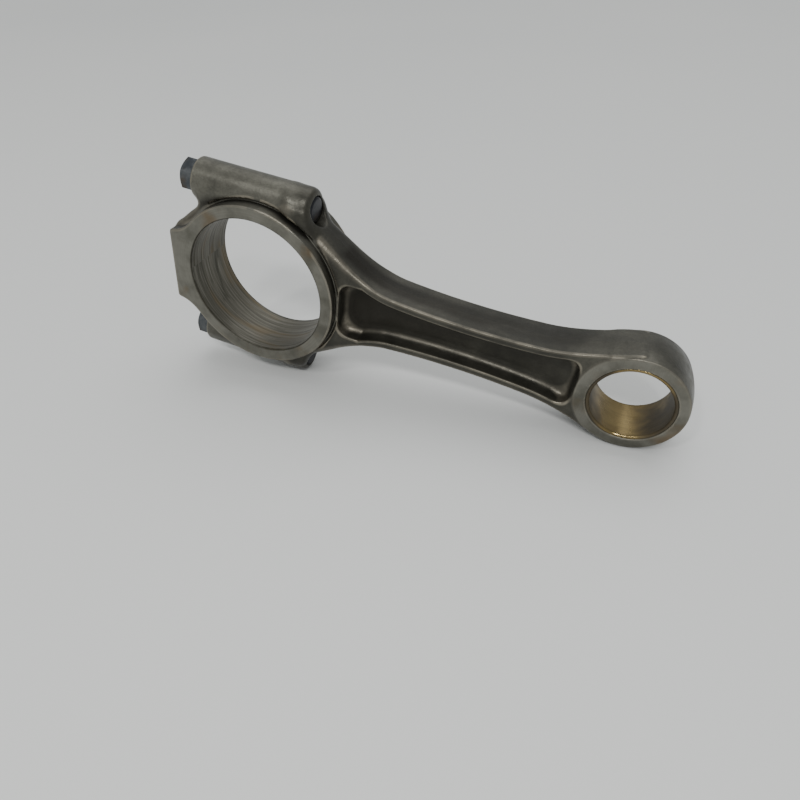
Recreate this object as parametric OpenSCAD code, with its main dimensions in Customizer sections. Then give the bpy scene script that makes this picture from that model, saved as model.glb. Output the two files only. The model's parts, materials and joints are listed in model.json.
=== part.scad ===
// Connecting rod of a small diesel engine, assembled: forged rod with an
// I-section shank, bearing cap, two through bolts with nuts, and a bronze
// bush in the small end.
//
// Origin: centre of the big-end bore. +X runs along the rod to the small end,
// +Y along both bores, +Z across the rod towards the upper bolt.
// The cap meets the rod on the plane x = 0.

/* [Overall] */
// Distance between the centres of the big-end and small-end bores
centre_distance = 156; // [130:1:190]
// Width of the big end over its two thrust faces
big_end_width = 26.6; // [22:0.2:32]
// Width of the small end over its two faces
small_end_width = 21; // [17.5:0.1:26]
// Width of the shank over its flanges, along the bores
shank_width = 18.7; // [15.5:0.1:20.5]

/* [Big end] */
// Diameter of the big-end housing bore
big_bore_d = 60; // [50:0.5:72]
// Radial width of the raised thrust ring around the housing bore
ring_wall = 5.4; // [4.4:0.1:6.5]
// Radial width of the turned relief around the thrust ring
relief_width = 1; // [0.7:0.1:1.6]
// Width of the housing behind the thrust rings, along the bore
housing_width = 15; // [12:0.5:16]
// Edge break at both mouths of the housing bore
big_chamfer = 0.5; // [0.3:0.1:1.2]

/* [Cap] */
// Wall of the cap at its crown, from the bore to the flat end of the pad
crown_wall = 8.5; // [7.5:0.5:11]
// Height of the crown pad across the rod
pad_height = 32; // [24:0.2:34]
// Wall of the cap outside its thrust ring, halfway between the crown pad and a boss
cap_shoulder_wall = 5.2; // [4:0.1:6.5]
// Wall of the cap outside its thrust ring, under the nut seat
cap_neck_wall = 2.8; // [2:0.1:4]
// Radius of the fillet between the crown pad and the thrust ring
pad_fillet = 3.5; // [2:0.5:5]

/* [Bolts and nuts] */
// Diameter of the bolts' fitted shanks and threads
bolt_d = 8; // [6.5:0.5:9.6]
// Radial clearance of the bolts in their holes
bolt_clearance = 0.05; // [0.02:0.01:0.1]
// Thinnest wall between a bolt hole and the housing bore
bolt_bore_wall = 1.15; // [1:0.05:3]
// Wall of the round bolt bosses outside the bolt holes
boss_wall = 4.2; // [3.6:0.1:5.2]
// Length of a boss from the joint face to the nut seat
boss_cap_length = 29.6; // [26:0.2:31]
// How far a boss stands out of the cap's housing at its nut seat
boss_lip = 2; // [1:0.1:2.4]
// Length of a boss on the rod, from the joint face to its forged end
boss_rod_length = 21; // [18:0.1:24]
// Bevel around the forged end of a boss on the rod
boss_bevel = 1.4; // [0.8:0.1:1.8]
// Thickness of the bolt heads
head_thickness = 3.4; // [2.8:0.1:4.2]
// How far a bolt head overhangs its shank all round
head_overhang = 1.3; // [1:0.1:1.5]
// How far a bolt head stands out of its counterbore
head_proud = 0.2; // [0:0.1:1]
// Size of the nuts across their flats
nut_across_flats = 12; // [12:0.5:15]
// Height of the nuts
nut_height = 6.4; // [5.6:0.1:8]
// Length of bolt that stands out past the nut
bolt_tip = 1; // [0.5:0.1:2]

/* [Small end] */
// Diameter of the piston pin bore in the bush
pin_bore_d = 30; // [25:0.5:36]
// Wall of the bronze bush
bush_wall = 1.25; // [1:0.05:1.8]
// Radial interference of the bush in the small end
bush_press = 0.01; // [0:0.01:0.02]
// Edge break at both mouths of the bush
bush_chamfer = 0.5; // [0.3:0.1:0.9]
// Wall of the small end around the bush, at its faces
eye_wall = 4.15; // [3.4:0.05:5]
// How much the forged outside of the small end swells at mid width
eye_crown = 0.9; // [0.5:0.1:1.4]

/* [Shank] */
// Half height of the shank at its waist
waist_half = 10.3; // [9:0.1:12.4]
// Distance of the waist from the small-end bore centre
waist_from_pin = 66; // [55:1:78]
// Radius of the long curve of the shank's edges
waist_radius = 350; // [300:10:420]
// Height of the shoulder below the bolt axis, at the end of the boss
shoulder_drop = 4.2; // [3.8:0.1:4.8]
// Slope of the shoulders, from the rod's length
shoulder_angle = 34; // [30:1:38]
// Slope of the shank's edges where they run into the small end
eye_angle = 20; // [18:1:24]
// Thickness of the flanges beside the pockets
flange_thickness = 2.9; // [2.4:0.1:3.5]
// Largest half height of a pocket
pocket_half_max = 12.4; // [10.4:0.1:13]
// Thickness of the web between the two pockets
web_thickness = 6; // [4.8:0.1:8]
// Radius of the pocket corners
pocket_corner = 4; // [3:0.5:5]

/* [Hidden] */

round_fn = 96;
small_fn = 48;
overlap = 0.02;
far = 400;

// big end
bore_r = big_bore_d / 2;
ring_r = bore_r + ring_wall;
relief_r = ring_r + relief_width;
thrust_y = big_end_width / 2;
housing_y = housing_width / 2;

// bolts: their holes lie just outside the housing bore
bolt_r = bolt_d / 2;
bolt_hole_r = bolt_r + bolt_clearance;
bolt_z = bore_r + bolt_bore_wall + bolt_hole_r;
boss_r = bolt_hole_r + boss_wall;
head_r = bolt_r + head_overhang;
head_gap = 0.2;
head_seat_x = boss_rod_length + head_proud - head_thickness;
head_seat_end_x = boss_rod_length + 1 + max(0, head_r + head_gap - shoulder_drop) / tan(shoulder_angle);
nut_far_x = boss_cap_length + nut_height;
bolt_end_x = nut_far_x + bolt_tip;
fitted_half = 8;
thread_start_x = boss_cap_length - 6;
bolt_waist_r = bolt_r * 0.88;
tip_chamfer = 0.6;
nut_chamfer_r = nut_across_flats * 0.45;
nut_bevel = tan(30);

// cap
pad_x = bore_r + crown_wall;
pad_half = pad_height / 2;
pad_corner_angle = atan2(pad_half, pad_x);
neck_x = boss_cap_length - boss_lip;
neck_angle = acos(neck_x / (ring_r + cap_neck_wall));
cap_shoulder_r = ring_r + cap_shoulder_wall;
cap_shoulder_angle = (pad_corner_angle + neck_angle) / 2;

// small end
pin_r = pin_bore_d / 2;
bush_r = pin_r + bush_wall;
bush_length = small_end_width - 0.4;
eye_face_r = bush_r + eye_wall;
eye_mid_r = eye_face_r + eye_crown;
eye_y = small_end_width / 2;
eye_land = 2;
eye_chamfer = 0.4;

// shank: half heights as functions of the distance from the big-end centre
shank_y = shank_width / 2;
web_y = web_thickness / 2;
waist_x = centre_distance - waist_from_pin;
shank_start = boss_rod_length - boss_bevel;
shoulder_z = bolt_z - shoulder_drop;
shoulder_blend = 6.5;
eye_blend = 3;
eye_tangent_r = (eye_face_r + eye_mid_r) / 2;
eye_tangent_x = centre_distance - eye_tangent_r * sin(eye_angle);
eye_tangent_z = eye_tangent_r * cos(eye_angle);
pocket_start = relief_r - 0.4;
pocket_end = centre_distance - eye_face_r - 1;
outline_steps = 40;

// bearing shell notches, in both halves at the upper joint edge of the bore
notch_width = 5;
notch_depth = 1.1;
notch_length = 5;
notch_offset = 5.5;

// larger of two heights, with the corner between them rounded
function soft_max(a, b, k) = max(a, b) + pow(max(k - abs(a - b), 0), 2) / (4 * k);
// smaller of two heights, with the corner between them rounded
function soft_min(a, b, k) = -soft_max(-a, -b, k);

function waist_line(x) = waist_half + pow(x - waist_x, 2) / (2 * waist_radius);
function shoulder_line(x) = shoulder_z - (x - boss_rod_length) * tan(shoulder_angle);
function eye_line(x) = eye_tangent_z + (x - eye_tangent_x) * tan(eye_angle);
function shank_half(x) =
    soft_max(soft_max(waist_line(x), shoulder_line(x), shoulder_blend), eye_line(x), eye_blend);
// a rounded end of the pocket: lowers its half height within one corner radius of the end
function end_round(d) =
    d >= pocket_corner ? 0 : pocket_corner - sqrt(pow(pocket_corner, 2) - pow(pocket_corner - d, 2));
function pocket_half(x) =
    soft_min(shank_half(x) - flange_thickness, pocket_half_max, 1)
    - end_round(x - pocket_start) - end_round(pocket_end - x);

// x values of an outline, closer together near both of its ends
function spread(low, high, n) =
    [for (i = [0:n]) low + (high - low) * (1 - cos(180 * i / n)) / 2];

function arc_points(centre, r, from, to, n) =
    [for (i = [0:n]) centre + r * [cos(from + (to - from) * i / n), sin(from + (to - from) * i / n)]];

function mirrored(points) =
    [for (i = [len(points) - 1:-1:0]) [points[i][0], -points[i][1]]];

// outline in the rod's XZ plane, made a plate of the given half width along Y
module plate(half_width) {
    rotate([90, 0, 0])
        linear_extrude(height = 2 * half_width, center = true)
            children();
}

// cylinder along Y between two distances from the middle plane
module disc_y(r, y0, y1) {
    translate([0, y1, 0])
        rotate([90, 0, 0])
            cylinder(r = r, h = y1 - y0, $fn = round_fn);
}

// cylinder along X on one of the two bolt axes
module rod_x(r, x0, x1, side, fn) {
    translate([x0, 0, side * bolt_z])
        rotate([0, 90, 0])
            cylinder(r = r, h = x1 - x0, $fn = fn);
}

// everything on one side of the joint face
module rod_side() {
    translate([0, -far / 2, -far / 2])
        cube([far, far, far]);
}

module cap_side() {
    translate([-far, -far / 2, -far / 2])
        cube([far, far, far]);
}

// housing bore with its two edge breaks
module housing_bore() {
    disc_y(bore_r, -thrust_y - 1, thrust_y + 1);
    for (s = [-1, 1])
        translate([0, s * thrust_y, 0])
            rotate([-90 * s, 0, 0])
                translate([0, 0, -big_chamfer])
                    cylinder(r1 = bore_r, r2 = bore_r + 2 * big_chamfer, h = 2 * big_chamfer, $fn = round_fn);
}

// turned relief that leaves the thrust ring standing proud
module ring_relief() {
    for (s = [-1, 1])
        rotate([90 * s, 0, 0])
            translate([0, 0, housing_y])
                difference() {
                    cylinder(r = relief_r, h = thrust_y, $fn = round_fn);
                    translate([0, 0, -1])
                        cylinder(r = ring_r, h = thrust_y + 2, $fn = round_fn);
                }
}

// seat for the tang of one bearing shell, on one side of the joint face
module shell_notch(side) {
    translate([side * notch_length / 2, -notch_offset, bore_r])
        cube([notch_length, notch_width, 2 * notch_depth], center = true);
}

module bolt_holes() {
    for (side = [-1, 1])
        rod_x(bolt_hole_r, -boss_cap_length - 1, boss_rod_length + 1, side, small_fn);
}

// outline of the shank with both shoulders
module shank_outline() {
    edge = [for (x = spread(shank_start, eye_tangent_x, outline_steps)) [x, shank_half(x)]];
    polygon(concat(edge, mirrored(edge)));
}

module pocket_outline() {
    edge = [for (x = spread(pocket_start, pocket_end, outline_steps)) [x, pocket_half(x)]];
    polygon(concat(edge, mirrored(edge)));
}

// small-end eye: turned blank with a crowned outside
module eye_blank() {
    translate([centre_distance, 0, 0])
        rotate([90, 0, 0])
            rotate_extrude($fn = round_fn)
                polygon([
                    [0, -eye_y],
                    [eye_face_r - eye_chamfer, -eye_y],
                    [eye_face_r, -eye_y + eye_chamfer],
                    [eye_mid_r, -eye_land],
                    [eye_mid_r, eye_land],
                    [eye_face_r, eye_y - eye_chamfer],
                    [eye_face_r - eye_chamfer, eye_y],
                    [0, eye_y]
                ]);
}

// bevelled end of one boss on the rod, around the seat of the bolt head
module boss_end(side) {
    translate([shank_start, 0, side * bolt_z])
        rotate([0, 90, 0])
            cylinder(r1 = boss_r, r2 = boss_r - boss_bevel, h = boss_bevel, $fn = round_fn);
}

// counterbore that one bolt head sits in, cut on until it runs out of the shoulder
module head_seat(side) {
    rod_x(head_r + head_gap, head_seat_x, head_seat_end_x, side, small_fn);
}

module rod_body() {
    color([0.30, 0.30, 0.28])
        difference() {
            union() {
                intersection() {
                    rod_side();
                    union() {
                        disc_y(ring_r, -thrust_y, thrust_y);
                        plate(housing_y)
                            square([2 * shank_start, 2 * bolt_z], center = true);
                        for (side = [-1, 1]) {
                            rod_x(boss_r, -shank_start, shank_start + overlap, side, round_fn);
                            boss_end(side);
                        }
                    }
                }
                plate(shank_y)
                    shank_outline();
                eye_blank();
            }
            ring_relief();
            housing_bore();
            bolt_holes();
            for (side = [-1, 1])
                head_seat(side);
            for (s = [-1, 1])
                translate([0, s * (web_y + far / 2), 0])
                    plate(far / 2)
                        pocket_outline();
            translate([centre_distance, 0, 0])
                disc_y(bush_r, -eye_y - 1, eye_y + 1);
            shell_notch(1);
        }
}

// thrust ring and crown pad seen along the bore, with the fillets between them
module cap_face_outline() {
    centre = [-sqrt(pow(ring_r + pad_fillet, 2) - pow(pad_half + pad_fillet, 2)), pad_half + pad_fillet];
    turn = atan2(-centre[1], -centre[0]);
    upper = concat([[-pad_x, pad_half]], arc_points(centre, pad_fillet, -90, turn, 6));
    polygon(concat(upper, mirrored(upper)));
}

// housing of the cap seen along the bore: full shoulders between the crown pad and the bosses
module cap_housing_outline() {
    upper = [
        [-pad_x, pad_half],
        [-cap_shoulder_r * cos(cap_shoulder_angle), cap_shoulder_r * sin(cap_shoulder_angle)],
        [-neck_x, neck_x * tan(neck_angle)],
        [-neck_x, bolt_z],
        [0, bolt_z]
    ];
    polygon(concat(upper, mirrored(upper)));
}

module cap() {
    color([0.33, 0.33, 0.30])
        difference() {
            intersection() {
                cap_side();
                union() {
                    disc_y(ring_r, -thrust_y, thrust_y);
                    plate(thrust_y)
                        cap_face_outline();
                    plate(housing_y)
                        cap_housing_outline();
                    for (side = [-1, 1])
                        rod_x(boss_r, -boss_cap_length, boss_cap_length, side, round_fn);
                }
            }
            difference() {
                ring_relief();
                plate(far)
                    polygon([[-far, -pad_half - pad_fillet], [-ring_r / 2, -pad_half - pad_fillet],
                        [-ring_r / 2, pad_half + pad_fillet], [-far, pad_half + pad_fillet]]);
            }
            housing_bore();
            bolt_holes();
            shell_notch(-1);
        }
}

module small_end_bush() {
    color([0.72, 0.56, 0.28])
        translate([centre_distance, 0, 0])
            rotate([90, 0, 0])
                rotate_extrude($fn = round_fn)
                    polygon([
                        [pin_r, -bush_length / 2 + bush_chamfer],
                        [pin_r + bush_chamfer, -bush_length / 2],
                        [bush_r + bush_press, -bush_length / 2],
                        [bush_r + bush_press, bush_length / 2],
                        [pin_r + bush_chamfer, bush_length / 2],
                        [pin_r, bush_length / 2 - bush_chamfer]
                    ]);
}

// through bolt: head in its counterbore, fitted band at the joint, thread under the nut
module bolt(side) {
    color([0.16, 0.17, 0.20]) {
        rod_x(head_r, head_seat_x, head_seat_x + head_thickness, side, small_fn);
        rod_x(bolt_r, -fitted_half, head_seat_x + overlap, side, small_fn);
        rod_x(bolt_waist_r, -thread_start_x - overlap, -fitted_half + overlap, side, small_fn);
        translate([-bolt_end_x, 0, side * bolt_z])
            rotate([0, 90, 0])
                rotate_extrude($fn = small_fn)
                    polygon([
                        [0, 0],
                        [bolt_r - tip_chamfer, 0],
                        [bolt_r, tip_chamfer],
                        [bolt_r, bolt_end_x - thread_start_x],
                        [0, bolt_end_x - thread_start_x]
                    ]);
    }
}

module bolt_upper() {
    bolt(1);
}

module bolt_lower() {
    bolt(-1);
}

// hexagon nut with both ends bevelled, flats facing along the bores
module nut(side) {
    corner_r = nut_across_flats / 2 / cos(30);
    bevel = (corner_r - nut_chamfer_r) * nut_bevel;
    color([0.16, 0.17, 0.20])
        translate([-nut_far_x, 0, side * bolt_z])
            rotate([0, 90, 0])
                difference() {
                    intersection() {
                        cylinder(r = corner_r, h = nut_height, $fn = 6);
                        rotate_extrude($fn = round_fn)
                            polygon([
                                [0, 0],
                                [nut_chamfer_r, 0],
                                [corner_r + nut_bevel, bevel + nut_bevel * nut_bevel],
                                [corner_r + nut_bevel, nut_height - bevel - nut_bevel * nut_bevel],
                                [nut_chamfer_r, nut_height],
                                [0, nut_height]
                            ]);
                    }
                    translate([0, 0, -1])
                        cylinder(r = bolt_hole_r, h = nut_height + 2, $fn = small_fn);
                }
}

module nut_upper() {
    nut(1);
}

module nut_lower() {
    nut(-1);
}

rod_body();
cap();
small_end_bush();
bolt_upper();
bolt_lower();
nut_upper();
nut_lower();
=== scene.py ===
"""Looks of the connecting rod: forged rod and cap, bronze bush, blued bolts and nuts."""
import json
import math

import bpy
import numpy as np
from mathutils import Matrix, Vector


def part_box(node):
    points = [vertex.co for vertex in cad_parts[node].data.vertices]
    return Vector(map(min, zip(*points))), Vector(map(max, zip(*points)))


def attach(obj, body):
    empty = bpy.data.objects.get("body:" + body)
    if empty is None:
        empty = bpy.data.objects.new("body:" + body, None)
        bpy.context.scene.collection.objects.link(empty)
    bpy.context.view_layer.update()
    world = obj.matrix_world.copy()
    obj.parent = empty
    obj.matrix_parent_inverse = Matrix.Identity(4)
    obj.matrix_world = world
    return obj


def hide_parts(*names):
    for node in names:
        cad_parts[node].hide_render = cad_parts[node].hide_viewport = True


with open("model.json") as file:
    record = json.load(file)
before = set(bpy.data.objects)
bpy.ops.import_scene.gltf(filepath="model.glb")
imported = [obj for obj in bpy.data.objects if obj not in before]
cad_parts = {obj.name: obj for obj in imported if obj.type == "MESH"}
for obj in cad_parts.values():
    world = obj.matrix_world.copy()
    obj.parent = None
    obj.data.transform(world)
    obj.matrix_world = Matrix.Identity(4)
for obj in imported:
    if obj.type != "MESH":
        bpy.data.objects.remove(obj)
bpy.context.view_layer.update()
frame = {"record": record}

MM = 0.001  # the frame is in metres, and every shape below is worked out in millimetres

# ---------------------------------------------------------------- camera

# Three-quarter view from in front of the rod and above it, in metres.
LENS = 27.57
SENSOR = 36.0
CAMERA_AT = Vector((0.1179, -0.2019, 0.1438))
CAMERA_RIGHT = Vector((0.92917, 0.35021, 0.11833))
CAMERA_UP = Vector((-0.31995, 0.60156, 0.73196))
CAMERA_BACK = Vector((0.18515, -0.71797, 0.67100))


def make_camera():
    """The picture's camera, from its place and its three axes."""
    data = bpy.data.cameras.new("camera")
    data.sensor_width = SENSOR
    data.lens = LENS
    data.clip_start = 0.01
    data.clip_end = 50
    camera = bpy.data.objects.new("camera", data)
    turn = Matrix((CAMERA_RIGHT, CAMERA_UP, CAMERA_BACK)).transposed()
    camera.matrix_world = Matrix.Translation(CAMERA_AT) @ turn.to_4x4()
    bpy.context.scene.collection.objects.link(camera)
    bpy.context.scene.camera = camera


make_camera()

# ---------------------------------------------------------------- sizes from the frame


def box_mm(node):
    low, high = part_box(node)
    return np.array(low) / MM, np.array(high) / MM


MOUNTS = {m["name"]: m for m in frame["record"]["mounts"]}
ROD_LOW, ROD_HIGH = box_mm("rod_body")
CAP_LOW, CAP_HIGH = box_mm("cap")
BUSH_LOW, BUSH_HIGH = box_mm("small_end_bush")
NUT_LOW, NUT_HIGH = box_mm("nut_upper")
BOLT_LOW, BOLT_HIGH = box_mm("bolt_upper")

CENTRES = MOUNTS["small_end_bore"]["pos_m"][0] / MM
BORE_R = MOUNTS["big_end_bore"]["dims"]["r_mm"]
PIN_R = MOUNTS["small_end_bore"]["dims"]["r_mm"]
THRUST_Y = ROD_HIGH[1]
EYE_Y = MOUNTS["small_end_back"]["pos_m"][1] / MM
BUSH_R = (BUSH_HIGH[2] - BUSH_LOW[2]) / 2
BUSH_Y = BUSH_HIGH[1]
EYE_MID_R = ROD_HIGH[0] - CENTRES
BOLT_Z = (NUT_LOW[2] + NUT_HIGH[2]) / 2
BOSS_R = ROD_HIGH[2] - BOLT_Z
PAD_X = -CAP_LOW[0]
NUT_SEAT = -NUT_HIGH[0]
NUT_FAR = -NUT_LOW[0]
NUT_FLATS = NUT_HIGH[1] - NUT_LOW[1]
BOLT_TIP = -BOLT_LOW[0]
HEAD_TOP = BOLT_HIGH[0]
HEAD_R = BOLT_HIGH[1]

RING_WALL = 5.4
RELIEF = 1.0  # width of the turned relief, and how far it reaches onto the cap
RELIEF_END = 22.0
HOUSING_Y = 7.5
BORE_BREAK = 0.5  # edge breaks at the mouths of the three bores
BUSH_BREAK = 0.5
EYE_BREAK = 0.35
BOLT_R = 4.0
HOLE_R = 4.05
HEAD_HEIGHT = 3.4
HEAD_PROUD = 0.2
HEAD_GAP = 0.2
HEAD_SEAT = HEAD_TOP - HEAD_HEIGHT
BOSS_END = HEAD_TOP - HEAD_PROUD
NECK_X = NUT_SEAT - 2.0
PITCH = 1.25  # screw thread of the bolts and nuts
THREAD_DEPTH = 0.68
THREAD_ROOT_R = BOLT_R - THREAD_DEPTH
WAIST_BOLT_R = BOLT_R * 0.88
FITTED_END = 8.0
THREAD_START = NUT_SEAT - 6.0
RING_R = BORE_R + RING_WALL
RELIEF_R = RING_R + RELIEF
PAD_HALF = 16.0
NECK_WALL = 2.8  # walls of the cap outside its thrust ring, at its necks and its shoulders
CAP_SHOULDER_WALL = 5.2
NECK_ANGLE = math.acos(NECK_X / (RING_R + NECK_WALL))
NECK_Z = NECK_X * math.tan(NECK_ANGLE)
CAP_SHOULDER_R = RING_R + CAP_SHOULDER_WALL
CAP_SHOULDER_ANGLE = (math.atan2(PAD_HALF, PAD_X) + NECK_ANGLE) / 2
CAP_SHOULDER_X = CAP_SHOULDER_R * math.cos(CAP_SHOULDER_ANGLE)
CAP_SHOULDER_Z = CAP_SHOULDER_R * math.sin(CAP_SHOULDER_ANGLE)
EYE_CROWN = 0.9
EYE_FACE_R = EYE_MID_R - EYE_CROWN
SHANK_Y = 9.35  # half widths of the shank over its flanges, and of its web
WEB_Y = 3.0
WAIST_HALF = 10.3
WAIST_X = CENTRES - 66
WAIST_R = 350
SHOULDER_Z = BOLT_Z - 4.2
SHOULDER_SLOPE = math.tan(math.radians(34))
SHOULDER_BLEND = 6.5
EYE_ANGLE = math.radians(20)
EYE_SLOPE = math.tan(EYE_ANGLE)
EYE_BLEND = 3.0
EYE_TANGENT_R = EYE_FACE_R + 0.6
EYE_TANGENT_X = CENTRES - EYE_TANGENT_R * math.sin(EYE_ANGLE)
EYE_TANGENT_Z = EYE_TANGENT_R * math.cos(EYE_ANGLE)
NOTCH_LENGTH = 5.0  # seats for the tangs of the bearing shells
NOTCH_WIDTH = 5.0
NOTCH_DEPTH = 1.1
NOTCH_OFFSET = 5.5
FLANGE = 2.9
POCKET_MAX = 12.4
POCKET_START = RELIEF_R - 0.4
POCKET_END = CENTRES - EYE_FACE_R - 1.0

# ---------------------------------------------------------------- solid fields
# A field is a function of x, y, z in mm: below zero inside the solid, above zero outside.
# The last number of each join is the size of its rounding or fillet, also in mm.


def join_max(a, b, k):
    """The larger of two fields: what both solids share, with its edges rounded by about k / 2."""
    return np.maximum(a, b) + np.maximum(k - np.abs(a - b), 0) ** 2 / (4 * k)


def join_min(a, b, k):
    """The smaller of two fields: two solids joined, with a fillet of about k / 2 between them."""
    return -join_max(-a, -b, k)


def soft_step(value, width):
    """Rises from 0 to 1 as the value goes from half a width below zero to half a width above it."""
    return np.clip(0.5 + value / width, 0, 1)


def shank_half(x):
    """Half height of the shank's outline."""
    waist = WAIST_HALF + (x - WAIST_X) ** 2 / (2 * WAIST_R)
    shoulder = SHOULDER_Z - (x - BOSS_END) * SHOULDER_SLOPE
    eye = EYE_TANGENT_Z + (x - EYE_TANGENT_X) * EYE_SLOPE
    return join_max(join_max(waist, shoulder, SHOULDER_BLEND), eye, EYE_BLEND)


def slope_share(x):
    """How much nearer the outline is than its height above a point says."""
    slope = shank_half(x + 0.5) - shank_half(x - 0.5)
    return 1 / np.sqrt(1 + slope ** 2)


def thrust_ring(rho, ay):
    """The raised ring around the housing bore, as a full disc."""
    return join_max(rho - RING_R, ay - THRUST_Y, 0.5)


def turned_relief(solid, rho, ay, floor_y):
    """Cuts the shallow turned step around the thrust ring."""
    return join_max(solid, -np.maximum(rho - RELIEF_R, floor_y - ay), 0.35)


def bored(solid, rho, ay, radius, face_y, edge_break):
    """Bores a hole along Y, with a 45 degree edge break at both faces."""
    cone = (radius + edge_break - rho - (face_y - ay)) / math.sqrt(2)
    return np.maximum(solid, np.maximum(radius - rho, cone))


def bolt_hole(solid, y, az):
    """Drills the holes of both bolts."""
    return np.maximum(solid, HOLE_R - np.hypot(y, az - BOLT_Z))


def shell_notch(solid, x, y, z):
    """Seat for the tang of a bearing shell, at the upper edge of the joint."""
    across = np.abs(y + NOTCH_OFFSET) - NOTCH_WIDTH / 2
    seat = np.maximum(np.maximum(np.abs(x) - NOTCH_LENGTH, across), np.abs(z - BORE_R) - NOTCH_DEPTH)
    return join_max(solid, -seat, 0.4)


def rod_field(x, y, z):
    """The forged rod with its bosses, shank, eye, pockets and machined faces."""
    ay, az = np.abs(y), np.abs(z)
    rho = np.hypot(x, z)
    rho_eye = np.hypot(x - CENTRES, z)
    # bolt bosses and the housing between them
    boss = join_max(np.hypot(y, az - BOLT_Z) - BOSS_R, x - BOSS_END, 3.6)
    housing = join_max(ay - HOUSING_Y, join_max(az - BOLT_Z, x - BOSS_END + 1.0, 3.0), 2.0)
    big_end = join_min(housing, boss, 3.0)
    # shank, a little fuller at the forging's parting line, with its shoulders well rounded
    share = slope_share(x)
    shoulder = soft_step(38 - x, 26)
    draft = 0.35 * (1 - ay / SHANK_Y)
    outline = np.where(x < EYE_TANGENT_X, (az - shank_half(x) - draft) * share,
                       rho_eye - EYE_TANGENT_R - draft)
    shank = join_max(outline - 0.2 - 0.9 * shoulder, ay - SHANK_Y, 1.2 + 5.5 * shoulder)
    shank = join_max(shank, np.maximum(HEAD_SEAT - 5 - x, x - CENTRES), 4.0)
    # small-end eye with a crowned outside
    eye = join_max(rho_eye - EYE_MID_R + EYE_CROWN * (ay / EYE_Y) ** 2, ay - EYE_Y, 0.7)
    body = join_min(big_end, shank, 5.0)
    body = join_min(body, eye, 0.3 + 2.7 * soft_step(EYE_TANGENT_X - 2 - x, 8))
    # pockets of the I-section, with drafted walls and filleted floors
    low = np.minimum(shank_half(x) - FLANGE, POCKET_MAX)
    wall = join_max((az - low) * share, POCKET_START - x, 6.0)
    wall = join_max(wall, x - POCKET_END, 7.0) + 0.13 * (SHANK_Y - ay)
    pocket = join_max(wall, WEB_Y - ay, 4.0)
    body = join_max(body, -pocket, 0.7)
    # machined parts
    body = join_max(body, ay - np.where(x > CENTRES / 2, EYE_Y, THRUST_Y), 0.3)
    body = turned_relief(body, rho, ay, HOUSING_Y + 1.2 * soft_step(x - 20, 10))
    body = join_min(body, thrust_ring(rho, ay), 0.6)
    body = bored(body, rho, ay, BORE_R, THRUST_Y, BORE_BREAK)
    body = bored(body, rho_eye, ay, BUSH_R, EYE_Y, EYE_BREAK)
    # counterbores that the bolt heads sit in, running out of the shoulders
    seat = np.maximum(HEAD_SEAT - x, np.hypot(y, az - BOLT_Z) - HEAD_R - HEAD_GAP)
    body = join_max(body, -np.maximum(seat, x - BOSS_END - 8), 0.5)
    body = np.where(x < HEAD_SEAT + 1, bolt_hole(body, y, az), body)
    body = shell_notch(body, x, y, z)
    return join_max(body, -x, 0.08)


def above_line(x, z, start, end):
    """How far a point lies above the straight line through two points, the first with the lower x."""
    run_x, run_z = end[0] - start[0], end[1] - start[1]
    return ((z - start[1]) * run_x - (x - start[0]) * run_z) / math.hypot(run_x, run_z)


def cap_field(x, y, z):
    """The bearing cap with its bosses, crown pad and machined faces."""
    ay, az = np.abs(y), np.abs(z)
    rho = np.hypot(x, z)
    boss = join_max(np.hypot(y, az - BOLT_Z) - BOSS_R, -NUT_SEAT - x, 0.7)
    # full shoulders between the crown pad and the necks under the nut seats
    web = above_line(x, az, (-PAD_X, PAD_HALF), (-CAP_SHOULDER_X, CAP_SHOULDER_Z))
    web = join_max(web, above_line(x, az, (-CAP_SHOULDER_X, CAP_SHOULDER_Z), (-NECK_X, NECK_Z)), 4.0)
    web = join_max(web, -PAD_X - x, 1.5)
    outline = join_max(join_min(web, -NECK_X - x, 3.0), az - BOLT_Z, 1.0)
    housing = join_max(outline, ay - HOUSING_Y, 2.0)
    body = join_min(housing, boss, 3.0)
    # the turned relief runs out where the web begins
    body = np.where(x > -RELIEF_END, turned_relief(body, rho, ay, HOUSING_Y), body)
    pad = join_max(az - PAD_HALF, x + BORE_R / 2, 1.0)
    faced = join_max(join_min(rho - RING_R, pad, 7.0), -PAD_X - x, 1.4)
    faced = join_max(faced, ay - THRUST_Y, 0.5)
    body = join_min(body, faced, 0.6 + 2.4 * soft_step(-RELIEF_END - x, 6))
    body = join_max(body, -PAD_X - x, 0.6)
    body = bored(body, rho, ay, BORE_R, THRUST_Y, BORE_BREAK)
    body = bolt_hole(body, y, az)
    body = shell_notch(body, x, y, z)
    return join_max(body, x, 0.08)


def bush_field(x, y, z):
    """The bush in the small end."""
    ay = np.abs(y)
    rho = np.hypot(x - CENTRES, z)
    body = join_max(rho - BUSH_R, ay - BUSH_Y, 0.3)
    return bored(body, rho, ay, PIN_R, BUSH_Y, BUSH_BREAK)


def thread_radius(x, y, z, root, depth, rise):
    """Radius of a screw thread's flank at each point, with narrow flats at crest and root."""
    phase = (x / PITCH + np.arctan2(z, y) / (2 * math.pi)) % 1
    tooth = np.clip(1.25 * (1 - np.abs(2 * phase - 1)) - 0.125, 0, 1)
    return root + depth * tooth * rise


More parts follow.
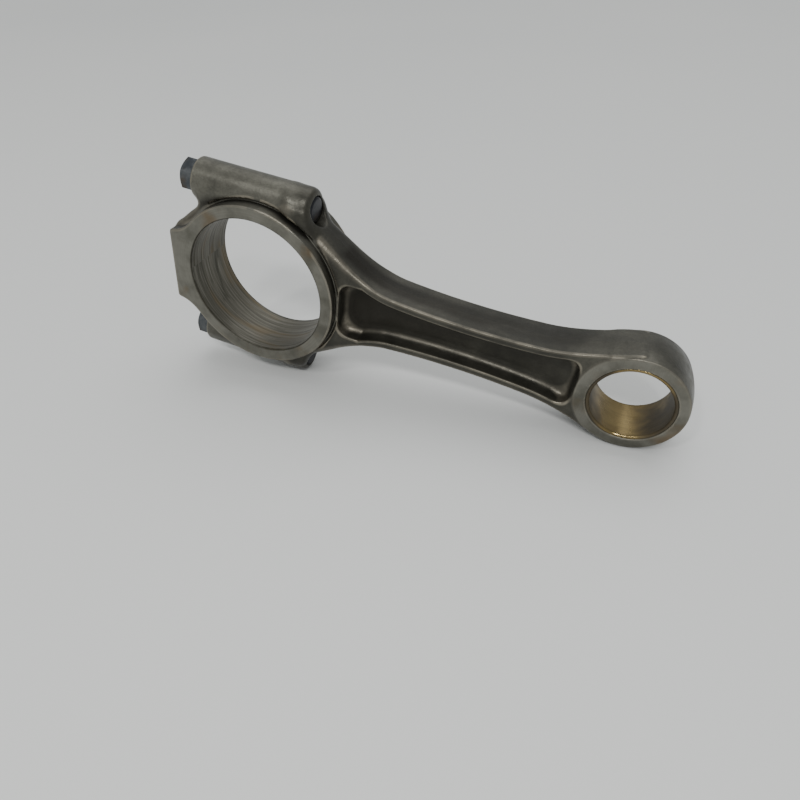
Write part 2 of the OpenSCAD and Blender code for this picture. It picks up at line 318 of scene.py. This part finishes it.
def bolt_field(x, y, z):
    """A fitted bolt about its own axis: round head, fitted band, waist and thread."""
    rho = np.hypot(y, z)
    fitted = join_max(rho - BOLT_R, -FITTED_END - x, 0.2)
    waist = rho - WAIST_BOLT_R
    rise = soft_step(-THREAD_START - x - 0.6, 1.2)
    flank = thread_radius(x, y, z, THREAD_ROOT_R, THREAD_DEPTH, rise)
    thread = np.maximum((rho - flank) * 0.8, x + THREAD_START - 0.6)
    point = np.maximum(-BOLT_TIP - x, (rho - THREAD_ROOT_R - 0.1 - (x + BOLT_TIP)) / math.sqrt(2))
    shank = np.maximum(join_min(join_min(fitted, waist, 0.8), thread, 0.3), point)
    shank = np.maximum(shank, x - HEAD_TOP + 0.5)
    head = join_max(np.maximum(HEAD_SEAT - x, x - HEAD_TOP), rho - HEAD_R, 0.5)
    head = join_max(head, (rho + x - HEAD_TOP - HEAD_R + 0.7) / math.sqrt(2), 0.3)
    return join_min(shank, head, 0.5)


def nut_field(x, y, z):
    """A hexagon nut about its own axis: chamfered corners both ends, and a threaded hole."""
    rho = np.hypot(y, z)
    across = np.maximum(np.abs(y), np.abs(y) / 2 + np.abs(z) * math.sqrt(0.75)) - NUT_FLATS / 2
    body = np.maximum(np.maximum(-NUT_FAR - x, x + NUT_SEAT), across)
    crown = (rho - NUT_FLATS * 0.45) * 0.5
    body = join_max(body, crown - (x + NUT_FAR) * math.sqrt(0.75), 0.15)
    body = join_max(body, crown + (x + NUT_SEAT) * math.sqrt(0.75), 0.15)
    flank = thread_radius(x, y, z, THREAD_ROOT_R + 0.2, THREAD_DEPTH, 1.0)
    body = np.maximum(body, (flank - rho) * 0.8)
    mouth = (HOLE_R + 0.35 - rho - np.minimum(x + NUT_FAR, -NUT_SEAT - x)) / math.sqrt(2)
    return np.maximum(body, mouth)


# ---------------------------------------------------------------- meshes from fields


def gradient(field, p, step):
    """Direction in which a field grows, at each of the points p."""
    out = np.empty_like(p)
    for axis in range(3):
        q, r = p.copy(), p.copy()
        q[:, axis] += step
        r[:, axis] -= step
        out[:, axis] = field(*q.T) - field(*r.T)
    return out / np.maximum(np.linalg.norm(out, axis=1, keepdims=True), 1e-9)


def contour(field, low, high, cell):
    """Dual contouring: vertices and quads of the surface where the field is zero, with crisp edges."""
    axes = [np.arange(a - 2.5 * cell, b + 3.5 * cell, cell) for a, b in zip(low, high)]
    origin = np.array([a[0] for a in axes])
    grid = [a.astype(np.float32) for a in axes]
    x, y, z = grid[0][:, None, None], grid[1][None, :, None], grid[2][None, None, :]
    value = np.concatenate([field(x[i:i + 16], y, z) for i in range(0, len(grid[0]), 16)])
    inside = value < 0
    shape = np.array(value.shape) - 1
    points, cells, turned = [], [], []
    for axis in range(3):
        first = [slice(None)] * 3
        second = [slice(None)] * 3
        first[axis], second[axis] = slice(None, -1), slice(1, None)
        crossing = np.argwhere(inside[tuple(first)] != inside[tuple(second)])
        after = crossing.copy()
        after[:, axis] += 1
        va = value[tuple(crossing.T)].astype(float)
        vb = value[tuple(after.T)].astype(float)
        pa = origin + crossing * cell
        pb = origin + after * cell
        t = va / (va - vb)
        for _ in range(3):
            mid = pa + (pb - pa) * t[:, None]
            vm = field(*mid.T)
            low_side = (vm < 0) == (va < 0)
            ta = np.where(low_side, t, 0)
            tb = np.where(low_side, 1, t)
            fa = np.where(low_side, vm, va)
            fb = np.where(low_side, vb, vm)
            t = np.clip(ta + (tb - ta) * fa / (fa - fb + 1e-12), 0, 1)
        points.append(pa + (pb - pa) * t[:, None])
        u, v = np.eye(3, dtype=int)[(axis + 1) % 3], np.eye(3, dtype=int)[(axis + 2) % 3]
        around = np.stack([crossing, crossing - u, crossing - u - v, crossing - v], axis=1)
        cells.append(around)
        turned.append(va > 0)
    points, cells, turned = np.concatenate(points), np.concatenate(cells), np.concatenate(turned)
    flat = np.ravel_multi_index(tuple(np.moveaxis(cells, 2, 0)), tuple(shape))
    used, index = np.unique(flat.ravel(), return_inverse=True)
    index = index.reshape(flat.shape)
    normals = gradient(field, points, 0.03)
    weight = index.ravel()
    count = np.bincount(weight, minlength=len(used)).astype(float)

    def gathered(per_point):
        return np.bincount(weight, np.repeat(per_point, 4), len(used))

    centre = np.stack([gathered(points[:, i]) for i in range(3)], 1) / count[:, None]
    offset = np.einsum("ij,ij->i", normals, points)
    right = np.stack([gathered(normals[:, i] * offset) for i in range(3)], 1)
    matrix = np.empty((len(used), 3, 3))
    for i in range(3):
        for j in range(3):
            matrix[:, i, j] = gathered(normals[:, i] * normals[:, j])
    right -= np.einsum("nij,nj->ni", matrix, centre)
    matrix += np.eye(3) * 0.05
    vertex = centre + np.linalg.solve(matrix, right[..., None])[..., 0]
    corner = origin + np.stack(np.unravel_index(used, tuple(shape)), 1) * cell
    vertex = np.clip(vertex, corner, corner + cell)
    index[turned] = index[turned][:, ::-1]
    return vertex, index


def shade_marks(field, vertex, normal):
    """How hollow and how edge-like the surface is at each vertex, both from 0 to 1."""
    hollow = np.zeros(len(vertex))
    for reach, share in ((1.2, 0.3), (3.0, 0.35), (7.0, 0.35)):
        room = field(*(vertex + normal * reach).T) / reach
        hollow += share * np.clip(1 - room, 0, 1)
    depth = -field(*(vertex - normal * 1.0).T)
    return hollow, np.clip(1 - depth, 0, 1)


def mesh_object(name, vertex, faces, normal=None, marks=None):
    """A smooth-shaded Blender object from millimetres, with one number per vertex for each mark."""
    mesh = bpy.data.meshes.new(name)
    corners = faces.shape[1]
    mesh.vertices.add(len(vertex))
    mesh.vertices.foreach_set("co", (vertex * MM).astype(np.float32).ravel())
    mesh.loops.add(faces.size)
    mesh.loops.foreach_set("vertex_index", faces.astype(np.int32).ravel())
    mesh.polygons.add(len(faces))
    mesh.polygons.foreach_set("loop_start", np.arange(0, faces.size, corners, dtype=np.int32))
    mesh.polygons.foreach_set("use_smooth", np.ones(len(faces), bool))
    mesh.update(calc_edges=True)
    for mark, values in (marks or {}).items():
        layer = mesh.attributes.new(mark, "FLOAT", "POINT")
        layer.data.foreach_set("value", values.astype(np.float32))
    if normal is not None:
        mesh.normals_split_custom_set_from_vertices(normal)
    piece = bpy.data.objects.new(name, mesh)
    bpy.context.scene.collection.objects.link(piece)
    return piece


def field_piece(name, field, low, high, cell, marks_of, shift=np.zeros(3)):
    """A meshed field with its marks, moved by shift into its place."""
    vertex, faces = contour(field, low, high, cell)
    normal = gradient(field, vertex, 0.3 * cell)
    # outside, the skin runs on level over the joint, and no edge beside it is painted bright as wear and
    # highlight
    near_joint = np.abs(vertex[:, 0])
    seam = (near_joint < 0.25) & (np.abs(normal[:, 0]) < 0.9)
    normal[seam, 0] = 0
    normal /= np.maximum(np.linalg.norm(normal, axis=1, keepdims=True), 1e-9)
    hollow, edge = shade_marks(field, vertex, normal)
    near_boss_end = soft_step(4 - np.abs(vertex[:, 0] - BOSS_END), 2)
    edge *= soft_step(near_joint - 1.3, 0.5) * (1 - 0.8 * near_boss_end)
    marks = {"hollow": hollow, "edge": edge}
    marks.update(marks_of(vertex, normal))
    return mesh_object(name, vertex + shift, faces, normal, marks)


# ---------------------------------------------------------------- materials


class Shader:
    """A procedural material on one Principled shader, built with short calls."""

    def __init__(self, name):
        self.material = bpy.data.materials.new(name)
        self.material.use_nodes = True
        self.tree = self.material.node_tree
        self.shader = self.tree.nodes["Principled BSDF"]
        self.place = self.node("ShaderNodeTexCoord").outputs["Object"]

    def node(self, kind, **settings):
        made = self.tree.nodes.new(kind)
        for key, value in settings.items():
            setattr(made, key, value)
        return made

    def set(self, socket, value):
        if isinstance(value, bpy.types.NodeSocket):
            self.tree.links.new(value, socket)
        elif isinstance(value, (tuple, list)) and len(value) == 3 and socket.type == "RGBA":
            socket.default_value = (*value, 1)
        else:
            socket.default_value = value

    def mark(self, name):
        return self.node("ShaderNodeAttribute", attribute_name=name).outputs["Fac"]

    def math(self, operation, a, b=0.0, clamp=False):
        made = self.node("ShaderNodeMath", operation=operation, use_clamp=clamp)
        self.set(made.inputs[0], a)
        self.set(made.inputs[1], b)
        return made.outputs[0]

    def scaled(self, factors, turn=(0, 0, 0)):
        made = self.node("ShaderNodeMapping")
        self.set(made.inputs["Vector"], self.place)
        made.inputs["Scale"].default_value = factors
        made.inputs["Rotation"].default_value = turn
        return made.outputs[0]

    def noise(self, scale, detail=3.0, rough=0.55, place=None, distort=0.0):
        made = self.node("ShaderNodeTexNoise")
        self.set(made.inputs["Vector"], place or self.place)
        made.inputs["Scale"].default_value = scale
        made.inputs["Detail"].default_value = detail
        made.inputs["Roughness"].default_value = rough
        made.inputs["Distortion"].default_value = distort
        return made.outputs["Fac"]

    def range(self, value, low, high, to_low=0.0, to_high=1.0):
        made = self.node("ShaderNodeMapRange", interpolation_type="SMOOTHSTEP")
        self.set(made.inputs["Value"], value)
        made.inputs["From Min"].default_value = low
        made.inputs["From Max"].default_value = high
        made.inputs["To Min"].default_value = to_low
        made.inputs["To Max"].default_value = to_high
        return made.outputs[0]

    def mix(self, share, a, b, mode="MIX"):
        made = self.node("ShaderNodeMix", data_type="RGBA", blend_type=mode)
        self.set(made.inputs["Factor"], share)
        self.set(made.inputs[6], a)
        self.set(made.inputs[7], b)
        return made.outputs[2]

    def mix_value(self, share, a, b):
        made = self.node("ShaderNodeMix", data_type="FLOAT")
        self.set(made.inputs["Factor"], share)
        self.set(made.inputs[2], a)
        self.set(made.inputs[3], b)
        return made.outputs[0]

    def bump(self, height, depth_mm, normal=None):
        made = self.node("ShaderNodeBump")
        made.inputs["Distance"].default_value = depth_mm * MM
        made.inputs["Strength"].default_value = 1.0
        self.set(made.inputs["Height"], height)
        if normal is not None:
            self.set(made.inputs["Normal"], normal)
        return made.outputs[0]

    def axis(self, centre_x_mm):
        """Radius in metres from an axis along Y, angle around it in turns, and place along it."""
        split = self.node("ShaderNodeSeparateXYZ")
        self.set(split.inputs[0], self.place)
        x = self.math("SUBTRACT", split.outputs[0], centre_x_mm * MM)
        z = split.outputs[2]
        radius = self.math("SQRT", self.math("ADD", self.math("MULTIPLY", x, x), self.math("MULTIPLY", z, z)))
        angle = self.math("DIVIDE", self.math("ARCTAN2", z, x), 2 * math.pi)
        return radius, angle, split.outputs[1]

    def combine(self, x, y, z):
        made = self.node("ShaderNodeCombineXYZ")
        for socket, value in zip(made.inputs, (x, y, z)):
            self.set(socket, value)
        return made.outputs[0]

    def finish(self, colour, metal, rough, normal=None):
        self.set(self.shader.inputs["Base Color"], colour)
        self.set(self.shader.inputs["Metallic"], metal)
        self.set(self.shader.inputs["Roughness"], rough)
        if normal is not None:
            self.set(self.shader.inputs["Normal"], normal)
        return self.material


FORGED_DARK = (0.026, 0.025, 0.020)
FORGED_LIGHT = (0.080, 0.076, 0.061)
HANDLED = (0.155, 0.150, 0.123)
# near black: painted shade in hollows and over the pocket floors, with some grime in the hollows
SHADE_AND_GRIME = (0.013, 0.011, 0.007)
# pale bare steel: worn edges, brightened further as a painted highlight
WORN_AND_SHEEN = (0.32, 0.29, 0.23)
CUT_STEEL = (0.185, 0.180, 0.155)
CUT_DULL = (0.108, 0.105, 0.087)
STAIN = (0.14, 0.095, 0.048)


def forged_steel():
    """Forging skin with machined faces: the marks say where each shows."""
    s = Shader("forged_steel")
    machined, bore = s.mark("machined"), s.mark("bore")
    hollow, edge, handled = s.mark("hollow"), s.mark("edge"), s.mark("handled")
    # forging skin: blotches of scale, fine grit, painted shade with some grime in its hollows, painted shade
    # over the pocket floors, and edges rubbed bare and brightened as a painted highlight
    blotch = s.noise(60, 4, 0.6)
    cloud = s.noise(22, 3, 0.5)
    grit = s.noise(900, 4, 0.7)
    tone = s.math("ADD", s.math("MULTIPLY", blotch, 0.7), s.math("MULTIPLY", cloud, 0.5))
    skin = s.mix(s.range(tone, 0.40, 0.85), FORGED_DARK, FORGED_LIGHT)
    skin = s.mix(s.math("MULTIPLY", handled, s.range(blotch, 0.30, 0.62, 0.45, 0.95)), skin, HANDLED)
    skin = s.mix(s.range(grit, 0.35, 0.75, 0.0, 0.35), skin, FORGED_DARK)
    # painted shade with some grime: near black in the skin's hollows
    skin = s.mix(s.range(hollow, 0.18, 0.66, 0.0, 0.97), skin, SHADE_AND_GRIME)
    # edges rubbed bare, also a painted highlight along them
    rub_and_sheen = s.math("MULTIPLY", s.range(edge, 0.16, 0.42), s.range(s.noise(140, 4, 0.6), 0.30, 0.62, 0.35, 1.0))
    # painted shade over the pocket floors, darkest at their big-end side
    skin = s.mix(s.math("MULTIPLY", s.mark("pocket"), s.range(cloud, 0.3, 0.6, 0.7, 1.0)), skin, SHADE_AND_GRIME)
    skin = s.mix(s.math("MULTIPLY", rub_and_sheen, 0.8), skin, WORN_AND_SHEEN)
    # machined faces: turned rings, dull patches and brown oil stains
    radius, angle, across = s.axis(0)
    rings = s.combine(s.math("MULTIPLY", radius, 3000), s.math("MULTIPLY", angle, 5), 0.0)
    turning = s.noise(1.0, 2, 0.5, rings)
    dull = s.noise(75, 5, 0.6)
    cut = s.mix(s.range(dull, 0.38, 0.68), CUT_STEEL, CUT_DULL)
    cut = s.mix(s.range(turning, 0.35, 0.75, 0.0, 0.30), cut, CUT_DULL)
    stain = s.noise(48, 3, 0.5, s.scaled((1, 1, 1), (0.4, 0.2, 0.9)))
    cut = s.mix(s.range(stain, 0.56, 0.70, 0.0, 0.6), cut, STAIN)
    # painted shade with some grime in the hollows of the machined faces, then their edges rubbed bare with a
    # painted highlight
    cut = s.mix(s.range(hollow, 0.30, 0.80, 0.0, 0.5), cut, SHADE_AND_GRIME)
    cut = s.mix(s.math("MULTIPLY", rub_and_sheen, 0.45), cut, WORN_AND_SHEEN)
    # housing bore: streaks of old grease around it
    around = s.combine(s.math("MULTIPLY", angle, 5), s.math("MULTIPLY", across, 1300), 0.0)
    streak = s.noise(1.0, 4, 0.55, around, 1.2)
    wider = s.combine(s.math("MULTIPLY", angle, 6), s.math("MULTIPLY", across, 150), 3.1)
    smear = s.noise(1.0, 3, 0.55, wider, 0.9)
    greasy = s.mix(s.range(streak, 0.25, 0.75), (0.050, 0.047, 0.035), (0.160, 0.152, 0.125))
    greasy = s.mix(s.range(smear, 0.50, 0.70, 0.0, 0.6), greasy, (0.13, 0.098, 0.052))
    greasy = s.mix(s.range(smear, 0.42, 0.28, 0.0, 0.7), greasy, (0.040, 0.038, 0.026))
    rim = s.math("ABSOLUTE", across)
    ragged = s.math("ADD", rim, s.math("MULTIPLY", s.noise(260, 3, 0.6), 2.4 * MM))
    greasy = s.mix(s.range(ragged, 13.2 * MM, 13.9 * MM, 0.0, 0.8), greasy, (0.030, 0.028, 0.018))
    colour = s.mix(machined, skin, cut)
    colour = s.mix(bore, colour, greasy)
    rough_skin = s.range(s.noise(180, 4, 0.6), 0.3, 0.7, 0.30, 0.46)
    rough_cut = s.range(dull, 0.3, 0.7, 0.30, 0.46)
    rough = s.mix_value(machined, rough_skin, rough_cut)
    rough = s.mix_value(bore, rough, s.range(streak, 0.3, 0.7, 0.55, 0.36))
    metal = s.mix_value(machined, s.range(rub_and_sheen, 0.0, 1.0, 0.65, 0.95), 0.92)
    metal = s.mix_value(bore, metal, 0.55)
    # relief: grit and soft dents on the skin, rings on turned faces, streaks in the bore
    dents = s.math("ADD", s.noise(300, 3, 0.6), s.math("MULTIPLY", s.noise(70, 2, 0.5), 2.0))
    off_cut = s.math("SUBTRACT", 1.0, machined)
    height = s.math("MULTIPLY", s.math("ADD", dents, s.math("MULTIPLY", grit, 0.8)), off_cut)
    height = s.math("ADD", height, s.math("MULTIPLY", s.math("MULTIPLY", turning, machined), 0.25))
    height = s.math("ADD", height, s.math("MULTIPLY", s.math("MULTIPLY", streak, bore), 0.9))
    return s.finish(colour, metal, rough, s.bump(height, 0.09))


def bronze():
    """Bored bronze, browned with oil: fine rings around the bore and dark patches."""
    s = Shader("bronze")
    edge = s.mark("edge")
    _, angle, across = s.axis(CENTRES)
    around = s.combine(s.math("MULTIPLY", angle, 6), s.math("MULTIPLY", across, 1500), 0.0)
    ring = s.noise(1.0, 3, 0.6, around)
    patch = s.noise(85, 4, 0.6)
    run = s.combine(s.math("MULTIPLY", angle, 5), s.math("MULTIPLY", across, 60), 2.0)
    film = s.noise(1.0, 3, 0.5, run, 0.8)
    colour = s.mix(s.range(patch, 0.35, 0.7), (0.260, 0.195, 0.088), (0.170, 0.125, 0.055))
    # darker, rougher and less metallic along both sides of the bore, broken up by a running noise
    turned = s.math("MULTIPLY", s.math("SUBTRACT", angle, 0.25), 2 * math.pi)
    side = s.math("ABSOLUTE", s.math("SINE", turned))
    side_blend = s.math("ADD", s.math("MULTIPLY", side, 0.55), s.math("MULTIPLY", film, 0.9))
    side_share = s.range(side_blend, 0.66, 0.98)
    colour = s.mix(s.math("MULTIPLY", side_share, 0.95), colour, (0.030, 0.023, 0.012))
    colour = s.mix(s.range(ring, 0.35, 0.70, 0.0, 0.30), colour, (0.11, 0.085, 0.042))
    # painted highlight: brighter bronze along the bush's sharpest edges, its chamfers among them
    colour = s.mix(s.range(edge, 0.80, 0.95, 0.0, 0.45), colour, (0.42, 0.34, 0.19))
    rough = s.range(side_blend, 0.5, 1.0, 0.17, 0.50)
    height = s.math("ADD", s.math("MULTIPLY", ring, 0.6), s.math("MULTIPLY", patch, 0.4))
    return s.finish(colour, s.mix_value(side_share, 0.92, 0.25), rough, s.bump(height, 0.02))


def blued_steel(name, dark, light):
    """Heat-blued steel under a film of oil, rubbed bare along its sharp edges with a painted highlight there,
    and painted shade in its hollows.
    """
    s = Shader(name)
    hollow, edge = s.mark("hollow"), s.mark("edge")
    patch = s.noise(260, 4, 0.6)
    grit = s.noise(1500, 3, 0.6)
    colour = s.mix(s.range(patch, 0.35, 0.7), dark, light)
    colour = s.mix(s.range(s.noise(120, 3, 0.5), 0.52, 0.68, 0.0, 0.7), colour, (0.070, 0.052, 0.034))
    # edges rubbed bare, also a painted highlight along them
    rub_and_sheen = s.math("MULTIPLY", s.range(edge, 0.35, 0.85), s.range(s.noise(420, 3, 0.6), 0.35, 0.6, 0.2, 0.9))
    colour = s.mix(s.math("MULTIPLY", rub_and_sheen, 0.8), colour, (0.26, 0.26, 0.26))
    # painted shade: near black in the hollows, such as the thread roots
    colour = s.mix(s.range(hollow, 0.35, 0.85, 0.0, 0.8), colour, (0.012, 0.011, 0.010))
    rough = s.range(patch, 0.3, 0.7, 0.30, 0.48)
    return s.finish(colour, 0.85, rough, s.bump(s.math("ADD", grit, patch), 0.012))


def big_end_marks(vertex, normal):
    """Where the rod and the cap are cut by a tool, and where the housing bore is, from 0 to 1."""
    x, y, z = vertex.T
    ay = np.abs(y)
    rho = np.hypot(x, z)
    in_ring = soft_step(RELIEF_R + 0.3 - rho, 0.4)
    faced = soft_step(ay - THRUST_Y + 0.35, 0.3)
    turned = in_ring * soft_step(ay - HOUSING_Y + 0.3, 0.4) * 0.75
    bore = soft_step(BORE_R + 0.35 - rho, 0.3)
    joint = soft_step(0.35 - np.abs(x), 0.2) * soft_step(np.abs(normal[:, 0]) - 0.8, 0.2)
    holes = soft_step(HOLE_R + 0.3 - np.hypot(y, np.abs(z) - BOLT_Z), 0.3)
    mouth = soft_step(BORE_R + BORE_BREAK + 0.3 - rho, 0.3)
    return np.max([faced, turned, bore, joint, holes, mouth], axis=0), bore * (1 - joint)


def on_boss(vertex):
    """How near the skin of a bolt boss is, from 0 to 1."""
    x, y, z = vertex.T
    return soft_step(BOSS_R + 1.2 - np.hypot(y, np.abs(z) - BOLT_Z), 2) * soft_step(BOSS_END - 8 - x, 9)


def rod_marks(vertex, normal):
    """Machined faces, the bore, skin rubbed by hands, and the painted shade in the pockets of the rod."""
    x, y, z = vertex.T
    ay = np.abs(y)
    machined, bore = big_end_marks(vertex, normal)
    rho_eye = np.hypot(x - CENTRES, z)
    eye = soft_step(ay - EYE_Y + 0.3, 0.3) * soft_step(x - CENTRES / 2, 1)
    pin = soft_step(BUSH_R + 0.5 - rho_eye, 0.3)
    seat = soft_step(0.3 - np.abs(x - HEAD_SEAT), 0.3) * soft_step(normal[:, 0] - 0.8, 0.2)
    handled = np.maximum(on_boss(vertex), soft_step(EYE_MID_R + 4 - rho_eye, 8) * 0.3)
    # painted shade in the pockets, darkest at their big-end side
    pocket = soft_step(WEB_Y + 1.5 - ay, 3) * soft_step(105 - x, 130) * soft_step(x - POCKET_START + 1, 2)
    machined = np.max([machined, eye, pin, seat], axis=0)
    return {"machined": machined, "bore": bore, "handled": handled, "pocket": pocket}


def cap_marks(vertex, normal):
    """Machined faces, the bore and skin rubbed by hands on the cap."""
    machined, bore = big_end_marks(vertex, normal)
    seat = soft_step(0.3 - np.abs(vertex[:, 0] + NUT_SEAT), 0.3) * soft_step(-normal[:, 0] - 0.8, 0.2)
    return {"machined": np.maximum(machined, seat), "bore": bore, "handled": on_boss(vertex)}


def plain_marks(vertex, normal):
    """No marks of its own: how hollow and how edge-like the surface is says enough."""
    return {}


def place(piece, body, slot, nodes, material):
    """Gives a piece its material, ties it to its body and hides the CAD nodes it stands for. The slot is not
    used.
    """
    piece.data.materials.append(material)
    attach(piece, body)
    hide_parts(*nodes)


COARSE = 1.0
FORGED = forged_steel()
BRONZE = bronze()
# The bolts' blued steel is far darker than the nuts': partly painted shade for the heads sunk in their seats
BOLT_BLUE = blued_steel("bolt_blue", (0.014, 0.015, 0.019), (0.030, 0.031, 0.036))
NUT_BLUE = blued_steel("nut_blue", (0.060, 0.066, 0.072), (0.115, 0.122, 0.126))

rod = field_piece("forged_rod", rod_field, ROD_LOW, ROD_HIGH, 0.42 * COARSE, rod_marks)
place(rod, "rod", "forged_steel", ["rod_body"], FORGED)
cap = field_piece("bearing_cap", cap_field, CAP_LOW, CAP_HIGH, 0.42 * COARSE, cap_marks)
place(cap, "cap", "forged_cap", ["cap"], FORGED)
bush = field_piece("pin_bush", bush_field, BUSH_LOW, BUSH_HIGH, 0.35 * COARSE, plain_marks)
place(bush, "rod", "bronze", ["small_end_bush"], BRONZE)

# each bolt and nut is meshed about its own axis, then shifted to its place above or below
AXIS = np.array([0, 0, BOLT_Z])
for side, name in ((1, "upper"), (-1, "lower")):
    bolt = field_piece("bolt_" + name + "_detail", bolt_field, BOLT_LOW - AXIS, BOLT_HIGH - AXIS,
                       0.16 * COARSE, plain_marks, AXIS * side)
    place(bolt, "rod", "bolt_steel", ["bolt_" + name], BOLT_BLUE)
    nut = field_piece("nut_" + name + "_detail", nut_field, NUT_LOW - AXIS, NUT_HIGH - AXIS,
                      0.2 * COARSE, plain_marks, AXIS * side)
    place(nut, "nut_" + name, "nut_steel", ["nut_" + name], NUT_BLUE)

# ---------------------------------------------------------------- stage and light

FLOOR_TOUCH = Vector(((BOSS_END - 2) * MM, 0, -(BOLT_Z + BOSS_R) * MM))
EYE_CENTRE = Vector((CENTRES * MM, 0, 0))


def floor_tilt():
    """Angle of the surface that the lower boss and the small end both rest on."""
    across = EYE_CENTRE - FLOOR_TOUCH
    return math.atan2(across.z, across.x) - math.asin(EYE_MID_R * MM / across.length)


TILT = floor_tilt()


def make_stage():
    """The pale floor that the rod lies on."""
    bpy.ops.mesh.primitive_plane_add(size=12)
    floor = bpy.context.object
    floor.name = "floor"
    floor.matrix_world = Matrix.Translation(FLOOR_TOUCH) @ Matrix.Rotation(-TILT, 4, "Y")
    s = Shader("floor")
    tone = s.range(s.noise(1.3, 2, 0.5), 0.3, 0.7)
    floor.data.materials.append(s.finish(s.mix(tone, (0.72, 0.73, 0.72), (0.75, 0.755, 0.74)), 0.0, 0.6))


def add_light(kind, name, at, towards, **settings):
    """A lamp at one place, aimed at another."""
    data = bpy.data.lights.new(name, kind)
    for key, value in settings.items():
        setattr(data, key, value)
    lamp = bpy.data.objects.new(name, data)
    lamp.location = at
    lamp.rotation_mode = "QUATERNION"
    lamp.rotation_quaternion = (Vector(towards) - Vector(at)).to_track_quat("-Z", "Y")
    bpy.context.scene.collection.objects.link(lamp)


def make_light():
    """Pale surroundings, a broad overhead light and three small lamps for the glints."""
    world = bpy.data.worlds.new("studio")
    world.use_nodes = True
    world.node_tree.nodes["Background"].inputs[0].default_value = (0.80, 0.82, 0.82, 1)
    world.node_tree.nodes["Background"].inputs[1].default_value = 0.64
    bpy.context.scene.world = world
    add_light("SUN", "overhead", (0.0, 0.5, 1.2), (0.08, 0, 0), energy=0.98, angle=0.95)
    for number, across in enumerate((-0.35, 0.05, 0.35)):
        add_light("AREA", "lamp_%d" % number, (across, -0.80, 0.95), (0.07, 0, 0), energy=2.4, size=0.12)


make_stage()
make_light()
